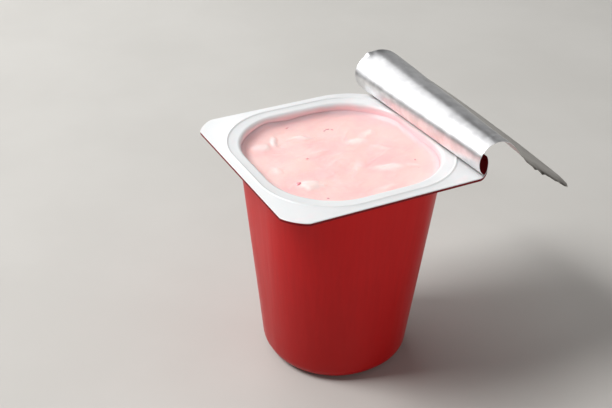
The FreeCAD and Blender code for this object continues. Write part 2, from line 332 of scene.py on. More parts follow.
# %% Round the flange's outline
SNAP_LEG, SNAP_PROFILE, MOULDED_CORNER = 6.0, 0.36, 21.3
SNAP_INSET_SHARE, CORNER_NEARNESS = 0.4, 0.1


def add_flange_ring(height, inset):
    """A ring of the flange: three corners snapped from the pack, and one moulded round."""
    half = (FLANGE_HALF - inset) * MM
    bpy.ops.mesh.select_all(action="DESELECT")
    bpy.ops.mesh.primitive_plane_add(size=2 * half, location=(0, 0, height * MM))
    close = half - CORNER_NEARNESS * MM
    round_corners(lambda point: min(point.co.x, point.co.y) > close, (MOULDED_CORNER - inset) * MM)
    # The moulded corner is round by now, so only the three that are still sharp are picked.
    round_corners(lambda point: min(abs(point.co.x), abs(point.co.y)) > close,
                  (SNAP_LEG - SNAP_INSET_SHARE * inset) * MM, SNAP_PROFILE)
    return mark_ring()


# %% [markdown]
# ## The pot's skin
# The outside is printed red, and the sheet itself is white, which shows on the flange, at the cut
# edge and inside. The rings are bridged in order, and each bridge says which of the two it is, so
# one closed skin carries both finishes with a sharp line between them at the flange's edge.

# %% Under the base and round the heel
RED, WHITE = 0, 1
pot_shell = start_piece("pot_shell")

GROOVE_MIDDLE, GROOVE_WIDTH, GROOVE_DEPTH, PANEL_RISE = 14.0, 2.4, 0.4, 0.15
GROOVE_EDGE_RISE, GROOVE_RUN_IN, GROOVE_SIDE = 0.1, 0.2, 0.5
PANEL_HALF, PANEL_FOOT, TINY_HALF = 9.0, 10.5, 1.0
NEARLY_ROUND = 0.25
# No two neighbours are quite level, because a bridge between level rings can turn over.
SLOPE = 0.02
inner_edge, outer_edge = GROOVE_MIDDLE - GROOVE_WIDTH / 2, GROOVE_MIDDLE + GROOVE_WIDTH / 2
under = (
    (PANEL_RISE + SLOPE, TINY_HALF), (PANEL_RISE, PANEL_HALF), (2 * SLOPE, PANEL_FOOT),
    (SLOPE, inner_edge - GROOVE_RUN_IN), (GROOVE_EDGE_RISE, inner_edge),
    (GROOVE_DEPTH, inner_edge + GROOVE_SIDE), (GROOVE_DEPTH - SLOPE, outer_edge - GROOVE_SIDE),
    (GROOVE_EDGE_RISE, outer_edge), (SLOPE, outer_edge + GROOVE_RUN_IN),
)
outside = [(height, half, half - NEARLY_ROUND) for height, half in under]
outside += heel_rings(0.0, HEEL_RADIUS)
base_middle = add_ring(*outside[0])
ring = climb(base_middle, outside[1:], RED)

# %% Up the wall
UNDER_ROUND, UNDER_STEPS, WALL_RINGS = 0.7, 3, 14
below = FLANGE_UNDER - UNDER_ROUND
heel_top = outside[-1][0]
levels = [heel_top + (below - heel_top) * step / WALL_RINGS for step in range(1, WALL_RINGS + 1)]
ring = climb(ring, [(height, *wall_ring(height)) for height in levels], RED)

half, corner = wall_ring(below)
angles = [math.pi / 2 * step / UNDER_STEPS for step in range(1, UNDER_STEPS + 1)]
outs = [UNDER_ROUND * (1 - math.cos(angle)) for angle in angles]
rounding = [(below + UNDER_ROUND * math.sin(angle), half + out, corner + out)
            for angle, out in zip(angles, outs)]
ring = climb(ring, rounding, RED)

# %% Round the flange's edge
EDGE_ROUND, EDGE_LEAN, PRINT_LINE = 0.12, 0.04, 0.80
red_edge = [(FLANGE_UNDER + SLOPE, EDGE_ROUND), (FLANGE_UNDER + EDGE_ROUND, 0.0),
            (FLANGE_UNDER + PRINT_LINE, 0.0)]
white_edge = [(RIM - EDGE_ROUND, EDGE_LEAN), (RIM - SLOPE, EDGE_ROUND + EDGE_LEAN)]
ring = climb(ring, red_edge, RED, add_flange_ring)
ring = climb(ring, white_edge, WHITE, add_flange_ring)

# %% Over the sealing bead
BEAD_INSET, BEAD_CORNER, BEAD_LAND, BEAD_STEPS = 2.0, 21.3, 1.2, 8
BEAD_HALF = FLANGE_HALF - BEAD_INSET
bead = []
for step in range(BEAD_STEPS + 1):
    inwards = BEAD_LAND * step / BEAD_STEPS
    rise = BEAD_HEIGHT * math.sin(math.pi * step / BEAD_STEPS) ** 2
    bead.append((RIM + rise, BEAD_HALF - inwards, BEAD_CORNER - inwards))
ring = climb(ring, bead, WHITE)

# %% Over the lip and down the inside
LIP_STEPS, INSIDE_LEVELS = 6, (61.0, 55.0, 42.0, 29.0, 16.0)
mouth_half, mouth_corner = wall_ring(RIM, WALL)
lip_turn = math.pi / 2 - LEAN
lip_start = LIP_RADIUS * math.tan(lip_turn / 2)
inside = []
for step in range(LIP_STEPS + 1):
    angle = lip_turn * step / LIP_STEPS
    out = lip_start - LIP_RADIUS * math.sin(angle)
    height = RIM - SLOPE - LIP_RADIUS * (1 - math.cos(angle))
    inside.append((height, mouth_half + out, mouth_corner + out))
inside += [(height, *wall_ring(height, WALL)) for height in INSIDE_LEVELS]
inside += heel_rings(FLOOR, HEEL_RADIUS - WALL, WALL)[::-1]
inside += [(FLOOR, half, half - NEARLY_ROUND) for half in (PANEL_HALF, TINY_HALF)]
ring = climb(ring, inside, WHITE)
close_ring(ring, WHITE)
close_ring(base_middle, RED)

# %% Close and smooth the skin
SAME_POINT = 0.002


def finish_skin(piece, sharp_from):
    """Merges doubles, turns the faces outwards and shades smooth all but the sharp edges."""
    bpy.ops.mesh.select_all(action="SELECT")
    bpy.ops.mesh.remove_doubles(threshold=SAME_POINT * MM)
    bpy.ops.mesh.select_all(action="SELECT")
    bpy.ops.mesh.normals_make_consistent(inside=False)
    bpy.ops.object.mode_set(mode="OBJECT")
    bpy.ops.object.shade_smooth_by_angle(angle=math.radians(sharp_from))
    mesh = bmesh.new()
    mesh.from_mesh(piece.data)
    open_edges = sum(not item.is_manifold for item in mesh.edges)
    millilitres = mesh.calc_volume(signed=True) / (10 * MM) ** 3
    print(f"{piece.name}: {len(mesh.faces)} faces, {open_edges} open edges, {millilitres:.2f} ml")
    mesh.free()


finish_skin(pot_shell, 32.0)

# %% [markdown]
# ## The yogurt
# The yogurt fills the pot to a few millimetres below the rim, and its surface was left soft and
# uneven by the filling, with broad swirls and lumps of fruit under the skin. A flat disc would look
# like paint. A fine grid is pulled to the pot's own outline, its height follows the same slow waves
# as the CAD solid, lumps are raised on it, and it climbs the wall a little, as a wet smear does. Two
# attributes of its points say where the finish gets a painted highlight over a lump and painted
# shade, a deeper pink, beside the wall. Its border is then extruded down the wall to the floor,
# which closes it.

# %% Where the yogurt lies
HEAD_SPACE, CLEARANCE = 3.9, 0.04
LEVEL = RIM - HEAD_SPACE
TO_YOGURT = WALL + CLEARANCE
level_half, level_corner = wall_ring(LEVEL, TO_YOGURT)
print(f"yogurt at {LEVEL:.1f} mm, {2 * level_half:.1f} mm wide")

# %% Helpers for its outline
NO_LENGTH = 1e-6


def soft_step(share):
    """Runs softly from 0 to 1 as share does, and stays level outside."""
    share = min(max(share, 0.0), 1.0)
    return share**2 * (3 - 2 * share)


def outline_reach(across, along, half, corner):
    """Distance from the axis to a rounded square, in the direction of a unit vector."""
    wide, narrow = max(abs(across), abs(along)), min(abs(across), abs(along))
    flat = half - corner
    if half / wide * narrow <= flat:
        return half / wide
    both = flat * (wide + narrow)
    return both + math.sqrt(both**2 - 2 * flat**2 + corner**2)


def spread(point, half, corner, share=1.0):
    """Carries a point away from the axis to a share of the way out in a rounded square."""
    if share < NO_LENGTH:
        return 0.0, 0.0
    length = math.hypot(point.x, point.y)
    across, along = point.x / length, point.y / length
    reach = outline_reach(across, along, half, corner) * share
    return across * reach, along * reach


# %% Lumps of fruit
LUMP_PROUD, LUMP_WARP, LUMP_WARP_LENGTH = 0.85, 0.7, 2.8
LUMP_FLATNESS, LUMP_STEEPNESS = 1.4, 2.2
# Lumps as (x, y, length, width, turn in degrees, rise), in mm.
LUMPS = (
    (-17.2, 15.6, 3.6, 2.8, 20, 0.52), (-12.4, 17.8, 3.6, 1.2, 70, 0.50),
    (-4.2, 16.2, 3.8, 1.4, -25, 0.42), (-14.0, -9.4, 4.6, 3.0, -25, 0.72),
    (10.5, -10.3, 5.4, 2.6, -18, 0.60), (10.0, 7.2, 3.8, 2.6, -10, 0.44),
    (15.5, 10.5, 3.0, 1.8, 30, 0.40), (14.2, 1.5, 4.5, 1.5, -60, 0.25),
    (3.0, -6.0, 4.5, 2.0, 50, 0.22), (-3.5, 6.0, 5.0, 2.0, 15, 0.18),
    (-19.0, 2.0, 3.0, 1.4, 80, 0.25), (5.0, -19.5, 4.0, 1.6, 5, 0.28),
    (17.5, -12.0, 3.0, 1.4, -40, 0.25),
)


def lump_rise(x, y):
    """Height that the fruit lumps add to the surface; noise bends their outlines."""
    rise = 0.0
    # The last number of a place in the noise only picks another slice of it.
    x += LUMP_WARP * noise.noise(Vector((x / LUMP_WARP_LENGTH, y / LUMP_WARP_LENGTH, 12.0)))
    y += LUMP_WARP * noise.noise(Vector((x / LUMP_WARP_LENGTH, y / LUMP_WARP_LENGTH, 15.0)))
    for centre_x, centre_y, length, width, degrees, height in LUMPS:
        turn = math.radians(degrees)
        dx, dy = x - centre_x, y - centre_y
        along = (dx * math.cos(turn) + dy * math.sin(turn)) / length
        across = (dy * math.cos(turn) - dx * math.sin(turn)) / width
        fall = ((along**2 + across**2) ** LUMP_FLATNESS) * LUMP_STEEPNESS
        rise += LUMP_PROUD * height * math.exp(-fall)
    return rise


print("tallest lump, mm:", round(max(lump_rise(lump[0], lump[1]) for lump in LUMPS), 2))

# %% The shape of the surface
SWIRL_HEIGHT, SWIRL_LENGTH, SWIRL_BEND = 0.22, 17.0, 3.0
ROUGH_HEIGHT, ROUGH_LENGTH = 0.07, 5.5
FOLD_HEIGHT, FOLD_WIDTH = 0.05, 0.12
SMEAR_HEIGHT, SMEAR_TILT, SMEAR_UNEVEN, SMEAR_LENGTH = 1.9, 0.4, 0.5, 8.0
STEEP_REACH, SLOW_REACH = 0.5, 2.2


def swirls(x, y):
    """The slow waves that the CAD solid has too."""
    wave = 2 * math.pi / SWIRL_LENGTH
    bent = x + SWIRL_BEND * math.sin(0.6 * wave * y)
    broad = math.sin(wave * bent + 0.5) * math.cos(0.7 * wave * y - 0.4)
    fine = math.sin(1.7 * wave * (0.6 * x - 0.8 * y) + 1.1)
    return SWIRL_HEIGHT * (0.7 * broad + 0.3 * fine)


def surface_height(x, y, to_wall):
    """Height of the yogurt at a place, in mm; to_wall is how far the wall is."""
    height = LEVEL + swirls(x, y)
    height += ROUGH_HEIGHT * noise.fractal(
        Vector((x / ROUGH_LENGTH, y / ROUGH_LENGTH, 0.3)), 0.9, 2.1, 3)
    folds = noise.noise(Vector((x / 9 + 0.4 * math.sin(y / 4), y / 3.2, 5.0)))
    height += FOLD_HEIGHT * (1 - min(1.0, abs(folds) / FOLD_WIDTH))
    height += lump_rise(x, y)
    uneven = noise.noise(Vector((x / SMEAR_LENGTH, y / SMEAR_LENGTH, 8.0)))
    smear = SMEAR_HEIGHT - SMEAR_TILT * x / level_half + SMEAR_UNEVEN * uneven
    climb_share = 0.6 * math.exp(-to_wall / STEEP_REACH) + 0.4 * math.exp(-to_wall / SLOW_REACH)
    return height + smear * climb_share


# %% Shape the top of the yogurt
TOP_STEPS, AT_WALL = 180, 0.999
HIGHLIGHT_RISE, WALL_SHADE_WIDTH = 0.4, 1.5
bpy.ops.object.select_all(action="DESELECT")
bpy.ops.mesh.primitive_grid_add(x_subdivisions=TOP_STEPS, y_subdivisions=TOP_STEPS, size=2.0)
yogurt_fill = bpy.context.object
yogurt_fill.name = yogurt_fill.data.name = "yogurt_fill"
bpy.ops.object.mode_set(mode="EDIT")
bpy.ops.mesh.select_mode(type="VERT")
mesh = edit_mesh()
# The first attribute marks a painted highlight, paler over the lumps' tops.
lump_highlight = mesh.verts.layers.float.new("lump_highlight")
# The second attribute marks painted shade, a deeper pink beside the wall.
wall_edge_shade = mesh.verts.layers.float.new("wall_edge_shade")
for point in mesh.verts:
    share = max(abs(point.co.x), abs(point.co.y))
    to_wall = (1 - share) * level_half
    x, y = spread(point.co, level_half, level_corner, share)
    height = surface_height(x, y, to_wall)
    point[lump_highlight] = soft_step(lump_rise(x, y) / HIGHLIGHT_RISE)
    point[wall_edge_shade] = math.exp(-to_wall / WALL_SHADE_WIDTH)
    if share > AT_WALL:
        x, y = spread(point.co, *wall_ring(height, TO_YOGURT))
    point.co = Vector((x, y, height)) * MM
bmesh.update_edit_mesh(yogurt_fill.data)
print("points on the yogurt's top:", len(mesh.verts))

# %% Carry the yogurt down to the floor
SIDE_LEVELS, FOOT_RINGS = (55.0, 40.0, 25.0, 12.0), ((8.0, 7.7), (1.0, 0.9))
bottom = FLOOR + CLEARANCE
sides = [(height, *wall_ring(height, TO_YOGURT)) for height in SIDE_LEVELS]
sides += heel_rings(bottom, HEEL_RADIUS - WALL, TO_YOGURT, steps=5)[::-1]
sides += [(bottom, *ring_sizes) for ring_sizes in FOOT_RINGS]
select_points(lambda point: point.is_boundary)
for height, half, corner in sides:
    bpy.ops.mesh.extrude_edges_move()
    for point in edit_mesh().verts:
        if point.select:
            point.co = Vector((*spread(point.co, half, corner), height)) * MM
    bmesh.update_edit_mesh(yogurt_fill.data)
bpy.ops.mesh.extrude_edges_move()
bpy.ops.mesh.merge(type="CENTER")
finish_skin(yogurt_fill, 60.0)

# %% [markdown]
# ## Fruit bits
# Small red shreds of fruit lie in the skin of the yogurt. They are too small for nodes of their own,
# so they are one mesh: each is a little icosphere, squashed, turned and roughened, and sunk until
# only its back shows.

# %% Place the bits
BIT_SINK, BIT_ROUGHNESS, BIT_GRAIN, BIT_FLATNESS = 0.12, 0.28, 1.7, 0.5
# Bits as (x, y, length, width, turn in degrees), in mm.
BITS = (
    (-17.0, -7.5, 0.95, 0.75, 30), (-13.3, -17.6, 0.7, 0.45, 80), (4.4, 17.6, 0.75, 0.38, 35),
    (5.6, 18.0, 0.75, 0.42, -20), (6.7, 17.1, 0.65, 0.42, -65), (12.5, 22.6, 0.8, 0.3, 15),
    (-8.2, 4.6, 0.55, 0.45, 0), (-17.0, 1.7, 0.34, 0.26, 45), (19.4, -9.4, 0.50, 0.38, 60),
    (17.9, -13.8, 0.50, 0.36, 10), (-5.1, 23.7, 0.9, 0.35, 25), (0.5, -1.0, 0.28, 0.22, 0),
    (-4.0, -12.5, 0.26, 0.20, 40), (13.5, 9.5, 0.30, 0.22, 70), (-9.0, 12.0, 0.24, 0.2, 15),
    (9.0, -20.5, 0.3, 0.22, 0),
)


def add_bit(x, y, length, width, degrees):
    """Adds one shred of fruit, half sunk in the surface."""
    bpy.ops.object.select_all(action="DESELECT")
    bpy.ops.mesh.primitive_ico_sphere_add(subdivisions=3, radius=1.0)
    bit = bpy.context.object
    turn = Matrix.Rotation(math.radians(degrees), 4, "Z")
    to_wall = level_half - max(abs(x), abs(y))
    seat = Vector((x, y, surface_height(x, y, to_wall) - BIT_SINK))
    for point in bit.data.vertices:
        rough = 1 + BIT_ROUGHNESS * noise.noise(point.co * BIT_GRAIN + seat)
        shape = Vector((point.co.x * length, point.co.y * width, point.co.z * width * BIT_FLATNESS))
        point.co = (turn @ (shape * rough) + seat) * MM
    return bit


bits = [add_bit(*sizes) for sizes in BITS]
bpy.ops.object.select_all(action="DESELECT")
for bit in bits:
    bit.select_set(True)
bpy.context.view_layer.objects.active = bits[0]
bpy.ops.object.join()
fruit_bits = bpy.context.object
fruit_bits.name = fruit_bits.data.name = "fruit_bits"
bpy.ops.object.shade_smooth()
print("fruit bits:", len(BITS), "in", len(fruit_bits.data.polygons), "faces")

# %% [markdown]
# ## The foil lid
# The lid is thin aluminium foil. It is still sealed along one side, bends up off the seal, curls
# over in a loose roll and runs out past the side in a nearly flat tail. Cloth simulation wouldn't
# keep the crisp roll of a metal sheet, so the flat lid is a fine grid, cut to the flange's outline,
# and a roll made of arcs carries each of its points. The roll is wider at its far end, and the tail
# droops more at its near end. Creases and a torn, wavy edge are added along the way.

# %% The roll
# Its axis is skewed to the flange, and its far end is wider by CURL_TAPER and sags by CURL_DROP.
SEALED_WIDTH, FREE_EDGE_INSET = 4.7, 5.0
PEEL_LINE = FLANGE_HALF - SEALED_WIDTH
SKEW = math.radians(1.25)
CURL_TAPER, CURL_DROP, DROP_OVER = 0.2, 1.3, 8.8
FOIL_THICK, SEAL_GAP = 0.12, 0.02
# Arcs of the roll, in order, as (radius in mm, turn in degrees); a negative radius bends back.
ROLL = ((2.4, 17.2), (4.4, 108.0), (7.7, 58.5), (10.2, 39.5), (-162.0, -90.0))
ACROSS = Vector((math.cos(SKEW), math.sin(SKEW), 0))
ALONG = Vector((-math.sin(SKEW), math.cos(SKEW), 0))


def roll_place(distance):
    """Offset, height and turn of the roll, a distance along the foil from the peel line."""
    offset, height, turn = 0.0, 0.0, 0.0
    for radius, degrees in ROLL:
        length = radius * math.radians(degrees)
        step = min(distance, length)
        after = turn + step / radius
        offset -= radius * (math.sin(after) - math.sin(turn))
        height += radius * (math.cos(turn) - math.cos(after))
        turn, distance = after, distance - step
    return offset, height, turn


TAIL_START = sum(radius * math.radians(degrees) for radius, degrees in ROLL[:-1])
print(f"the roll takes {TAIL_START:.1f} mm of foil")

# %% The droop of the tail
DROOP, DROOP_POWER, DROOP_OVER = math.radians(5.2), 1.6, 6.0
DROOP_FROM, DROOP_SPAN = 14.0, 42.0
STRAIGHTEN, STRAIGHTEN_FROM, STRAIGHTEN_OVER = 0.35, 12.0, 16.0


def droop_tail(offset, height, turn, past_roll, along):
    """Turns the tail down about its hinge, more at its near end and less towards its tip."""
    hinge_offset, hinge_height, _ = roll_place(TAIL_START)
    droop = DROOP * (max(0.0, DROOP_FROM - along) / DROOP_SPAN) ** DROOP_POWER
    straighter = STRAIGHTEN * soft_step((past_roll - STRAIGHTEN_FROM) / STRAIGHTEN_OVER)
    droop *= soft_step(past_roll / DROOP_OVER) * (1 - straighter)
    out, rise = offset - hinge_offset, height - hinge_height
    offset = hinge_offset + out * math.cos(droop) + rise * math.sin(droop)
    height = hinge_height + rise * math.cos(droop) - out * math.sin(droop)
    return offset, height, turn + droop


# %% The outline of the flat lid
# It is the flange's outline, cut short at the free edge; the snapped corners bow out a little.
SNAP_BOW = 0.9


def lid_reach(x, side):
    """How far the flat lid reaches along Y at x, on its -Y side (-1) or its +Y side (+1)."""
    if side > 0 and x > 0:
        past = max(0.0, x - (FLANGE_HALF - MOULDED_CORNER))
        return FLANGE_HALF - MOULDED_CORNER + math.sqrt(max(MOULDED_CORNER**2 - past**2, 0.0))
    reach = x if x > 0 else FREE_EDGE_INSET - x
    if reach <= FLANGE_HALF - SNAP_LEG:
        return FLANGE_HALF
    radius = SNAP_LEG**2 / (4 * SNAP_BOW) + SNAP_BOW / 2
    centre = FLANGE_HALF - SNAP_LEG / 2 + (SNAP_BOW - radius) / math.sqrt(2)
    return centre + math.sqrt(radius**2 - (reach - centre) ** 2)


# %% [markdown]
# ## Creases and torn edges
# Handled foil keeps every dent. A bump in the finish would shade the dents but leave the outline
# straight, so the foil's points are really moved, off the smooth roll and towards one of its sides.
# A crease is a small ridge beside a small valley. The rest is slow waves, a fine grain, a crumpled
# patch near the near end, a flare at the far end, and a dip and a ragged cut along the tail.

# %% Creases
# Creases as (peeled distance, along, length, width, turn in degrees, depth), in mm.
CREASES = (
    (15.5, -27.5, 2.2, 0.55, 15, 0.16), (17.5, -25.0, 2.6, 0.50, -20, 0.18),
    (19.0, -28.5, 2.0, 0.50, 30, 0.20), (16.5, -21.5, 2.4, 0.50, 50, 0.12),
    (21.0, -23.5, 3.0, 0.60, -30, 0.20), (8.5, -14.0, 2.2, 0.5, 40, 0.10),
    (9.5, -20.0, 2.4, 0.5, 70, 0.10), (12.5, 28.0, 3.0, 0.7, 75, 0.14),
    (30.0, 5.0, 6.0, 0.8, 60, 0.20), (36.0, -12.0, 6.0, 0.8, 100, 0.25),
    (42.0, 10.0, 7.0, 0.9, 35, 0.14),
)


def crease_depth(peeled, along):
    """How far creases push the foil off its smooth roll."""
    depth = 0.0
    for centre, middle, length, width, degrees, height in CREASES:
        turn = math.radians(degrees)
        du, dv = peeled - centre, along - middle
        lengthwise = (du * math.cos(turn) + dv * math.sin(turn)) / length
        sideways = (dv * math.cos(turn) - du * math.sin(turn)) / width
        depth += height * math.exp(-(lengthwise**2)) * sideways * math.exp(-(sideways**2))
    return depth


# %% Unevenness of the foil
WAVE_DEPTH, GRAIN_DEPTH, CRUMPLE_DEPTH = 0.12, 0.012, 0.11
LOOSE_FROM, LOOSE_OVER, TAIL_FROM, TAIL_OVER = 4.0, 8.0, 22.0, 6.0
CRUMPLE_FROM, CRUMPLE_OVER, CRUMPLE_PLACE, CRUMPLE_LENGTH = -14.0, 10.0, 17.5, 4.0
FLARE_DEPTH, FLARE_WIDTH = 0.25, 3.5
NUB_DEPTH, NUB_PLACE, NUB_LENGTH, NUB_WIDTH = 0.40, 16.5, 0.9, 1.0
DIP_DEPTH, DIP_WIDTH, DIP_MEAN, DIP_SWING, DIP_LENGTH = 0.55, 2.2, 0.75, 0.9, 2.1


def unevenness(x, y, peeled, along):
    """How far the foil is pushed towards its printed side, in mm."""
    loose = soft_step((peeled - LOOSE_FROM) / LOOSE_OVER)
    tail = soft_step((peeled - TAIL_FROM) / TAIL_OVER)
    push = crease_depth(peeled, along) * loose
    push += WAVE_DEPTH * loose * noise.noise(Vector((peeled / 9.0, along / 14.0, 2.0)))
    push += GRAIN_DEPTH * loose * noise.noise(Vector((peeled / 1.8, along / 2.4, 7.0)))
    crumple = soft_step((CRUMPLE_FROM - along) / CRUMPLE_OVER)
    crumple *= math.exp(-(((peeled - CRUMPLE_PLACE) / CRUMPLE_LENGTH) ** 2))
    push += CRUMPLE_DEPTH * crumple * noise.noise(Vector((peeled / 1.3, along / 1.7, 4.0)))
    # The far end of the roll flares, with one small nub in it, and the tail's near edge dips.
    near_edge, far_edge = y + lid_reach(x, -1), lid_reach(x, 1) - y
    push -= FLARE_DEPTH * loose * (1 - tail) * max(0.0, 1 - far_edge / FLARE_WIDTH) ** 2
    push -= NUB_DEPTH * math.exp(
        -(((peeled - NUB_PLACE) / NUB_LENGTH) ** 2) - (far_edge / NUB_WIDTH) ** 2)
    ragged = DIP_MEAN + DIP_SWING * noise.noise(Vector((peeled / DIP_LENGTH, 0.0, 6.0)))
    push += DIP_DEPTH * tail * ragged * max(0.0, 1 - near_edge / DIP_WIDTH) ** 2
    return push


# %% The place of each point
CORNER_LIFT, LIFT_FROM, LIFT_OVER = 2.0, -4.0, 18.0


def foil_point(x, y):
    """Carries a point of the flat lid, in mm, to its place on the peeled lid, in metres."""
    flat = Vector((x, y, 0))
    from_line = flat - Vector((PEEL_LINE, 0, 0))
    peeled, along = -from_line.dot(ACROSS), from_line.dot(ALONG)
    share = along / FLANGE_HALF
    scale = 1 + CURL_TAPER * share
    if peeled <= 0:
        # Still sealed, but for its near end, which is coming loose.
        height = CORNER_LIFT * soft_step(-peeled / SEALED_WIDTH)
        height *= soft_step((LIFT_FROM - along) / LIFT_OVER)
        spot, turn = flat, 0.0
    else:
        offset, height, turn = roll_place(peeled / scale)
        past_roll = peeled / scale - TAIL_START
        if past_roll > 0:
            offset, height, turn = droop_tail(offset, height, turn, past_roll, along)
        spot = flat + ACROSS * (peeled + offset * scale)
        height = height * scale - CURL_DROP * share * soft_step(peeled / DROP_OVER)
    seat = RIM + BEAD_HEIGHT + SEAL_GAP + FOIL_THICK / 2
    printed_side = ACROSS * math.sin(turn) + Vector((0, 0, math.cos(turn)))
    push = unevenness(x, y, peeled, along)
    return (spot + Vector((0, 0, seat + height)) + printed_side * push) * MM


# %% Roll the foil
LENGTH_STEPS, WIDTH_STEPS = 280, 165
TORN_FROM, TORN_OVER, TEAR_MEAN, TEAR_LENGTH = 18.0, 12.0, 0.6, 2.0
NEAR_TEAR, NEAR_ROW, FAR_TEAR, FAR_ROW = 0.45, 3.0, 0.20, 9.0


def tear(x, row):
    """How ragged the torn edge is at x, in shares of its depth; each row tears its own way."""
    torn = soft_step((PEEL_LINE - x - TORN_FROM) / TORN_OVER)
    return torn * (TEAR_MEAN + noise.noise(Vector((x / TEAR_LENGTH, row, 0.0))))


bpy.ops.object.select_all(action="DESELECT")
bpy.ops.mesh.primitive_grid_add(x_subdivisions=LENGTH_STEPS, y_subdivisions=WIDTH_STEPS, size=2.0)
foil_sheet = bpy.context.object
foil_sheet.name = foil_sheet.data.name = "foil_sheet"
free_edge = FREE_EDGE_INSET - FLANGE_HALF
for point in foil_sheet.data.vertices:
    lengthwise, crosswise = (1 - point.co.x) / 2, point.co.y
    x = FLANGE_HALF + (free_edge - FLANGE_HALF) * lengthwise
    near = lid_reach(x, -1) - NEAR_TEAR * tear(x, NEAR_ROW)
    far = lid_reach(x, 1) - FAR_TEAR * tear(x, FAR_ROW)
    y = -near + (far + near) * (crosswise + 1) / 2
    point.co = foil_point(x, y)
print("foil points:", len(foil_sheet.data.vertices))

# %% Give the foil its thickness
PRINT, SILVER = 0, 1
FOIL_SHARP_FROM = math.radians(50)

bpy.ops.object.material_slot_add()
bpy.ops.object.material_slot_add()
thicken = foil_sheet.modifiers.new("thickness", "SOLIDIFY")
thicken.thickness = FOIL_THICK * MM
thicken.offset = 0.0
thicken.use_even_offset = True
thicken.material_offset = SILVER
thicken.material_offset_rim = SILVER
bpy.ops.object.modifier_apply(modifier=thicken.name)
bpy.ops.object.shade_smooth_by_angle(angle=FOIL_SHARP_FROM)
print("foil:", len(foil_sheet.data.polygons), "faces, spans, mm:",
      [round(side / MM, 1) for side in foil_sheet.dimensions])

# %% [markdown]
# ## Shared effects
# Four effects appear in several finishes, so each is a node group, built once and given other values
# in each material: a soft cloudy tone between two colours, the faint handling marks that change a
# surface's gloss, a fine relief for bump, and a soft band. The band is a mask between two places
# along an axis, and it says where painted shade or painted light lies on the red print and the foil,
# and where the pink smear, with painted shade and reflection, lies on the white.

# %% Helpers for nodes
def add_node(tree, kind, values=None, **settings):
    """Adds a node, with settings and input values."""
    new = tree.nodes.new(kind)
    for name, setting in settings.items():
        setattr(new, name, setting)
    for name, number in (values or {}).items():
        new.inputs[name].default_value = number
    return new


def new_group(name, inputs, outputs):
    """Starts a node group; inputs are (name, type, value), and outputs (name, type)."""
    group = bpy.data.node_groups.new(name, "ShaderNodeTree")
    for socket, kind, number in inputs:
        made = group.interface.new_socket(name=socket, in_out="INPUT", socket_type=kind)
        made.default_value = number
    for socket, kind in outputs:
        group.interface.new_socket(name=socket, in_out="OUTPUT", socket_type=kind)
    return group, group.nodes.new("NodeGroupInput"), group.nodes.new("NodeGroupOutput")


def use_group(tree, group, values):
    """Places a node group in a material."""
    placed = tree.nodes.new("ShaderNodeGroup")
    placed.node_tree = group
    for name, number in values.items():
        placed.inputs[name].default_value = number
    return placed


def wire(tree, *pairs):
    """Links the sockets of each pair."""
    for start, end in pairs:
        tree.links.new(start, end)


def stretched_place(group, given):
    """A place on the piece, with its height divided by the group's Stretch input."""
    place = add_node(group, "ShaderNodeTexCoord")
    shape = add_node(group, "ShaderNodeCombineXYZ", {"X": 1.0, "Y": 1.0})
    squeeze = add_node(group, "ShaderNodeVectorMath", operation="DIVIDE")
    wire(
        group,
        (given.outputs["Stretch"], shape.inputs["Z"]),
        (place.outputs["Object"], squeeze.inputs[0]),
        (shape.outputs["Vector"], squeeze.inputs[1]),
    )
    return squeeze.outputs["Vector"]


# %% Cloudy tone
FLOAT, COLOUR = "NodeSocketFloat", "NodeSocketColor"
cloudy, given, result = new_group(
    "Cloudy tone",
    [("Light", COLOUR, (1, 1, 1, 1)), ("Deep", COLOUR, (0, 0, 0, 1)), ("Size", FLOAT, 100.0),
     ("Stretch", FLOAT, 1.0), ("Low", FLOAT, 0.35), ("High", FLOAT, 0.65)],
    [("Tone", COLOUR)],
)
clouds = add_node(cloudy, "ShaderNodeTexNoise", {"Detail": 4.0, "Roughness": 0.55})
spread_mask = add_node(cloudy, "ShaderNodeMapRange", interpolation_type="SMOOTHSTEP")
blend = add_node(cloudy, "ShaderNodeMix", data_type="RGBA")
wire(
    cloudy,
    (stretched_place(cloudy, given), clouds.inputs["Vector"]),
    (given.outputs["Size"], clouds.inputs["Scale"]),
    (clouds.outputs["Fac"], spread_mask.inputs["Value"]),
    (given.outputs["Low"], spread_mask.inputs["From Min"]),
    (given.outputs["High"], spread_mask.inputs["From Max"]),
    (spread_mask.outputs["Result"], blend.inputs["Factor"]),
    (given.outputs["Light"], blend.inputs["A"]),
    (given.outputs["Deep"], blend.inputs["B"]),
    (blend.outputs["Result"], result.inputs["Tone"]),
)
print("Cloudy tone has", len(cloudy.nodes), "nodes")

# %% Handling marks
marks, given, result = new_group(
    "Handling marks",
    [("Smooth", FLOAT, 0.3), ("Worn", FLOAT, 0.45), ("Size", FLOAT, 60.0), ("Stretch", FLOAT, 1.0)],
    [("Roughness", FLOAT)],
)
smudge = add_node(marks, "ShaderNodeTexNoise", {"Detail": 6.0, "Roughness": 0.6})
level = add_node(marks, "ShaderNodeMapRange", {"From Min": 0.3, "From Max": 0.7})
wire(
    marks,
    (stretched_place(marks, given), smudge.inputs["Vector"]),
    (given.outputs["Size"], smudge.inputs["Scale"]),
    (smudge.outputs["Fac"], level.inputs["Value"]),
    (given.outputs["Smooth"], level.inputs["To Min"]),
    (given.outputs["Worn"], level.inputs["To Max"]),
    (level.outputs["Result"], result.inputs["Roughness"]),
)
print("Handling marks has", len(marks.nodes), "nodes")

# %% Fine relief
relief, given, result = new_group(
    "Fine relief",
    [("Size", FLOAT, 800.0), ("Stretch", FLOAT, 1.0)],
    [("Height", FLOAT)],
)
grain = add_node(relief, "ShaderNodeTexNoise", {"Detail": 3.0, "Roughness": 0.5})
wire(
    relief,
    (stretched_place(relief, given), grain.inputs["Vector"]),
    (given.outputs["Size"], grain.inputs["Scale"]),
    (grain.outputs["Fac"], result.inputs["Height"]),
)
print("Fine relief has", len(relief.nodes), "nodes")

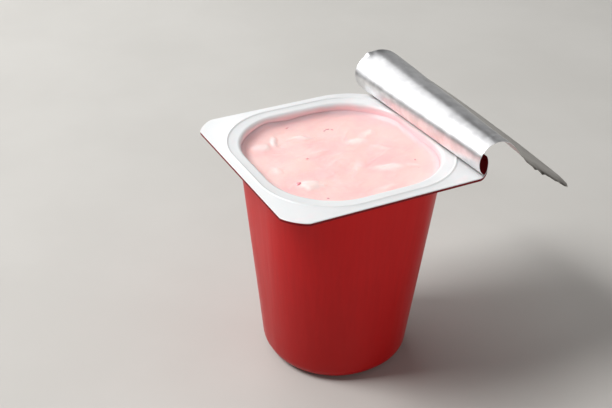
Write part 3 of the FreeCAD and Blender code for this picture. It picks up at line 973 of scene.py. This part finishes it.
# %% Soft band
soft_band, given, result = new_group(
    "Soft band",
    [("Axis", "NodeSocketVector", (0, 0, 1)), ("Low", FLOAT, 0.0), ("High", FLOAT, 0.1),
     ("Soft", FLOAT, 0.0002), ("Wander", FLOAT, 0.0), ("Size", FLOAT, 150.0),
     ("Strength", FLOAT, 1.0)],
    [("Mask", FLOAT)],
)
place = add_node(soft_band, "ShaderNodeTexCoord")
reach = add_node(soft_band, "ShaderNodeVectorMath", operation="DOT_PRODUCT")
drift = add_node(soft_band, "ShaderNodeTexNoise", {"Detail": 2.0})
centred = add_node(soft_band, "ShaderNodeMath", {1: 0.5}, operation="SUBTRACT")
moved = add_node(soft_band, "ShaderNodeMath", operation="MULTIPLY_ADD")
past_low = add_node(soft_band, "ShaderNodeMath", operation="SUBTRACT")
before_high = add_node(soft_band, "ShaderNodeMath", operation="SUBTRACT")
fade_in = add_node(soft_band, "ShaderNodeMath", operation="DIVIDE", use_clamp=True)
fade_out = add_node(soft_band, "ShaderNodeMath", operation="DIVIDE", use_clamp=True)
both = add_node(soft_band, "ShaderNodeMath", operation="MULTIPLY")
weaken = add_node(soft_band, "ShaderNodeMath", operation="MULTIPLY")
# The place along the axis, moved a little by noise.
wire(
    soft_band,
    (place.outputs["Object"], reach.inputs[0]),
    (given.outputs["Axis"], reach.inputs[1]),
    (place.outputs["Object"], drift.inputs["Vector"]),
    (given.outputs["Size"], drift.inputs["Scale"]),
    (drift.outputs["Fac"], centred.inputs[0]),
    (centred.outputs["Value"], moved.inputs[0]),
    (given.outputs["Wander"], moved.inputs[1]),
    (reach.outputs["Value"], moved.inputs[2]),
)
# How far that is inside both ends, each softened, and the whole weakened.
wire(
    soft_band,
    (moved.outputs["Value"], past_low.inputs[0]),
    (given.outputs["Low"], past_low.inputs[1]),
    (given.outputs["High"], before_high.inputs[0]),
    (moved.outputs["Value"], before_high.inputs[1]),
    (past_low.outputs["Value"], fade_in.inputs[0]),
    (given.outputs["Soft"], fade_in.inputs[1]),
    (before_high.outputs["Value"], fade_out.inputs[0]),
    (given.outputs["Soft"], fade_out.inputs[1]),
    (fade_in.outputs["Value"], both.inputs[0]),
    (fade_out.outputs["Value"], both.inputs[1]),
    (both.outputs["Value"], weaken.inputs[0]),
    (given.outputs["Strength"], weaken.inputs[1]),
    (weaken.outputs["Value"], result.inputs["Mask"]),
)
print("groups:", [group.name for group in bpy.data.node_groups])

# %% Helpers for finishes
def new_finish(name, tone, gloss, grain, bump, **constants):
    """A material from three of the groups; constants are set on the shader itself."""
    material = bpy.data.materials.new(name)
    material.use_nodes = True
    tree = material.node_tree
    shader = tree.nodes["Principled BSDF"]
    colour = use_group(tree, cloudy, tone)
    rough = use_group(tree, marks, gloss)
    height = use_group(tree, relief, grain)
    raised = add_node(tree, "ShaderNodeBump", bump)
    wire(
        tree,
        (colour.outputs["Tone"], shader.inputs["Base Color"]),
        (rough.outputs["Roughness"], shader.inputs["Roughness"]),
        (height.outputs["Height"], raised.inputs["Height"]),
        (raised.outputs["Normal"], shader.inputs["Normal"]),
    )
    for socket, number in constants.items():
        shader.inputs[socket.replace("_", " ")].default_value = number
    print("finish:", name)
    return material, tree, shader


def band(tree, within=None, **values):
    """A mask between two places along an axis, and within another mask where one is given."""
    placed = use_group(tree, soft_band, values)
    if within is not None:
        tree.links.new(within, placed.inputs["Strength"])
    return placed.outputs["Mask"]


def tint(tree, shader, colour, mask):
    """Lays a colour over a finish where a mask says so."""
    over = add_node(tree, "ShaderNodeMix", data_type="RGBA")
    over.inputs["B"].default_value = colour
    before = shader.inputs["Base Color"].links[0].from_socket
    wire(
        tree,
        (mask, over.inputs["Factor"]),
        (before, over.inputs["A"]),
        (over.outputs["Result"], shader.inputs["Base Color"]),
    )


# %% [markdown]
# ## The pot's finishes
# The red print is a satin ink over smooth plastic. It shows faint upright streaks from the drawing
# of the sheet, which noise gives when it is stretched along Z. Painted shade makes it deeper towards
# the base and painted light makes it brighter under the flange, and painted shade makes it nearly
# black at the line it stands on and at the flange's cut edge.
# The white inside is the bare plastic, a little see-through, so it has some subsurface scattering.
# Up to just below the rim it is pinker, partly from a smear of yogurt and partly from painted
# shade and a painted pink reflection of the yogurt.

# %% Red print
# A band that is open at one end runs out past the whole object there, in metres.
BELOW_ALL, PAST_ALL = -0.1, 0.2

red_print, tree, shader = new_finish(
    "red_print",
    {"Light": (0.54, 0.007, 0.008, 1), "Deep": (0.50, 0.006, 0.007, 1), "Size": 800.0,
     "Stretch": 34.0},
    {"Smooth": 0.30, "Worn": 0.42, "Size": 260.0, "Stretch": 12.0},
    {"Size": 900.0, "Stretch": 30.0},
    {"Strength": 0.06, "Distance": 0.0002},
    Specular_IOR_Level=0.18,
)
# Painted shade: the red is made deeper towards the base.
lower_body_shade = band(tree, Low=BELOW_ALL, High=0.040, Soft=0.035, Strength=0.7)
# Painted light: the red is made brighter under the flange.
upper_body_light = band(tree, Low=0.035, High=PAST_ALL, Soft=0.03, Strength=0.6)
# Painted shade: the red at the flange's cut edge is made nearly black.
flange_edge_shade = band(tree, Low=(FLANGE_UNDER - 0.15) * MM, High=PAST_ALL, Soft=0.0001, Strength=0.9)
# Painted shade: a nearly black line where the pot stands on the table.
base_shade = band(tree, Low=BELOW_ALL, High=0.0011, Soft=0.0008, Strength=0.8)
tint(tree, shader, (0.37, 0.003, 0.003, 1), lower_body_shade)
tint(tree, shader, (0.62, 0.008, 0.009, 1), upper_body_light)
tint(tree, shader, (0.17, 0.003, 0.006, 1), flange_edge_shade)
tint(tree, shader, (0.20, 0.002, 0.004, 1), base_shade)
pot_shell.data.materials.append(red_print)

# %% White plastic
PINK_TOP = RIM - 0.2

white_plastic, tree, shader = new_finish(
    "white_plastic",
    {"Light": (0.785, 0.795, 0.80, 1), "Deep": (0.755, 0.765, 0.77, 1), "Size": 60.0},
    {"Smooth": 0.28, "Worn": 0.38, "Size": 300.0},
    {"Size": 1200.0},
    {"Strength": 0.06, "Distance": 0.0002},
    Subsurface_Weight=0.15, Subsurface_Radius=(1.0, 0.6, 0.5), Subsurface_Scale=0.001,
)
# Pink below the rim: partly a yogurt smear, partly painted shade and a painted reflection of the pink
# yogurt.
smear_and_shade = band(tree, Low=BELOW_ALL, High=PINK_TOP * MM, Soft=0.0015, Wander=0.0016)
tint(tree, shader, (0.97, 0.65, 0.68, 1), smear_and_shade)
pot_shell.data.materials.append(white_plastic)

# %% [markdown]
# ## The yogurt's finish
# Yogurt is wet and scatters light under its skin, so it has strong subsurface scattering with a
# reddish spread, and a thin gloss. Its colour drifts between a pale peach pink and a deeper pink.
# The two attributes of its points add a painted highlight that makes it paler over the lumps, and
# painted shade that makes it pinker beside the wall. The bits are darker and shinier.

# %% Yogurt
yogurt_pink, tree, shader = new_finish(
    "yogurt_pink",
    {"Light": (1.0, 0.65, 0.61, 1), "Deep": (0.98, 0.55, 0.545, 1), "Size": 90.0, "Low": 0.4,
     "High": 0.75},
    {"Smooth": 0.36, "Worn": 0.50, "Size": 240.0},
    {"Size": 600.0},
    {"Strength": 0.12, "Distance": 0.0003},
    Subsurface_Weight=0.6, Subsurface_Radius=(1.0, 0.55, 0.45), Subsurface_Scale=0.002,
    Coat_Weight=0.06, Coat_Roughness=0.35,
)
# A painted highlight pales the lumps, and painted shade deepens the pink beside the wall.
for attribute, colour in (("lump_highlight", (1.0, 0.75, 0.72, 1)), ("wall_edge_shade", (0.99, 0.58, 0.60, 1))):
    places = add_node(tree, "ShaderNodeAttribute", attribute_name=attribute)
    tint(tree, shader, colour, places.outputs["Fac"])
yogurt_fill.data.materials.append(yogurt_pink)

# %% Fruit
fruit_red, _, _ = new_finish(
    "fruit_red",
    {"Light": (0.91, 0.42, 0.45, 1), "Deep": (0.82, 0.24, 0.28, 1), "Size": 900.0},
    {"Smooth": 0.22, "Worn": 0.35, "Size": 900.0},
    {"Size": 2500.0},
    {"Strength": 0.2, "Distance": 0.0002},
    Subsurface_Weight=0.5, Subsurface_Radius=(1.0, 0.3, 0.25), Subsurface_Scale=0.0008,
)
fruit_bits.data.materials.append(fruit_red)

# %% [markdown]
# ## The foil's finishes
# The foil's underside, now outside, is bare rolled aluminium with a soft, cloudy gloss. Painted
# shade darkens it where it meets the bead, makes it greyer at the far end of the roll, and darker
# on the tail, most of all along the tail's torn near edge. Its other face is printed dark red over
# the metal, and it shows inside the roll and under the tail.

# %% Bare foil
ROLL_END = 0.036

bare_foil, tree, shader = new_finish(
    "bare_foil",
    {"Light": (0.91, 0.91, 0.92, 1), "Deep": (0.76, 0.76, 0.77, 1), "Size": 260.0},
    {"Smooth": 0.30, "Worn": 0.44, "Size": 300.0},
    {"Size": 700.0},
    {"Strength": 0.10, "Distance": 0.0002},
    Metallic=1.0,
)
# Painted shade: a dark band on the foil where it meets the bead.
contact_shade = band(tree, Low=(RIM - 0.6) * MM, High=(RIM + 0.9) * MM, Soft=0.0002)
on_roll = band(tree, Axis=(-1, 0, 0), Low=-ROLL_END, High=PAST_ALL, Soft=0.006)
# Painted shade: the bare foil is greyer at the far end of the roll.
far_end_shade = band(tree, on_roll, Axis=(0, 1, 0), Low=0.025, High=PAST_ALL, Soft=0.007,
               Wander=0.006, Size=300.0)
# Painted shade: the bare foil is darker on the tail.
past_roll = band(tree, Axis=(1, 0, 0), Low=ROLL_END, High=PAST_ALL, Soft=0.008)
# Painted shade: the tail's torn near edge is made darkest, standing in for its shaded underside.
near_edge = band(tree, past_roll, Axis=(0, -1, 0), Low=0.021, High=PAST_ALL, Soft=0.008,
                 Wander=0.004, Size=350.0)
tint(tree, shader, (0.22, 0.17, 0.17, 1), contact_shade)
tint(tree, shader, (0.60, 0.60, 0.61, 1), far_end_shade)
tint(tree, shader, (0.52, 0.50, 0.475, 1), past_roll)
tint(tree, shader, (0.20, 0.18, 0.16, 1), near_edge)
foil_sheet.material_slots[SILVER].material = bare_foil

# %% Printed foil
printed_foil, _, _ = new_finish(
    "printed_foil",
    {"Light": (0.33, 0.008, 0.015, 1), "Deep": (0.26, 0.006, 0.010, 1), "Size": 80.0},
    {"Smooth": 0.25, "Worn": 0.35, "Size": 300.0},
    {"Size": 700.0},
    {"Strength": 0.15, "Distance": 0.0003},
    Metallic=0.2, Coat_Weight=0.4, Coat_Roughness=0.15,
)
foil_sheet.material_slots[PRINT].material = printed_foil

# %% [markdown]
# ## The table's finish
# A plain warm grey with hardly any gloss, so that the shadow is all there is to see on it.

# %% Table top
table_top, _, _ = new_finish(
    "table_top",
    {"Light": (0.555, 0.54, 0.51, 1), "Deep": (0.53, 0.515, 0.485, 1), "Size": 12.0},
    {"Smooth": 0.60, "Worn": 0.70, "Size": 20.0},
    {"Size": 300.0},
    {"Strength": 0.05, "Distance": 0.0003},
)
table.data.materials.append(table_top)

# %% [markdown]
# ## Hand the pieces to the frame
# Every piece rides on the part's one body and stands in for its CAD node. The sizes of the frame
# and of the finished pieces are written down, so that they can be compared.

# %% Ride, replace and measure
for piece, node_name, slot_name in (
    (pot_shell, "pot", "pot"), (yogurt_fill, "yogurt", "yogurt"), (foil_sheet, "foil_lid", "foil"),
):
    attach(piece, "root")
    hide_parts(node_name)
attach(fruit_bits, "root")

visual_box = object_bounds()
show_box("frame", cad_box)
show_box("pieces", visual_box)
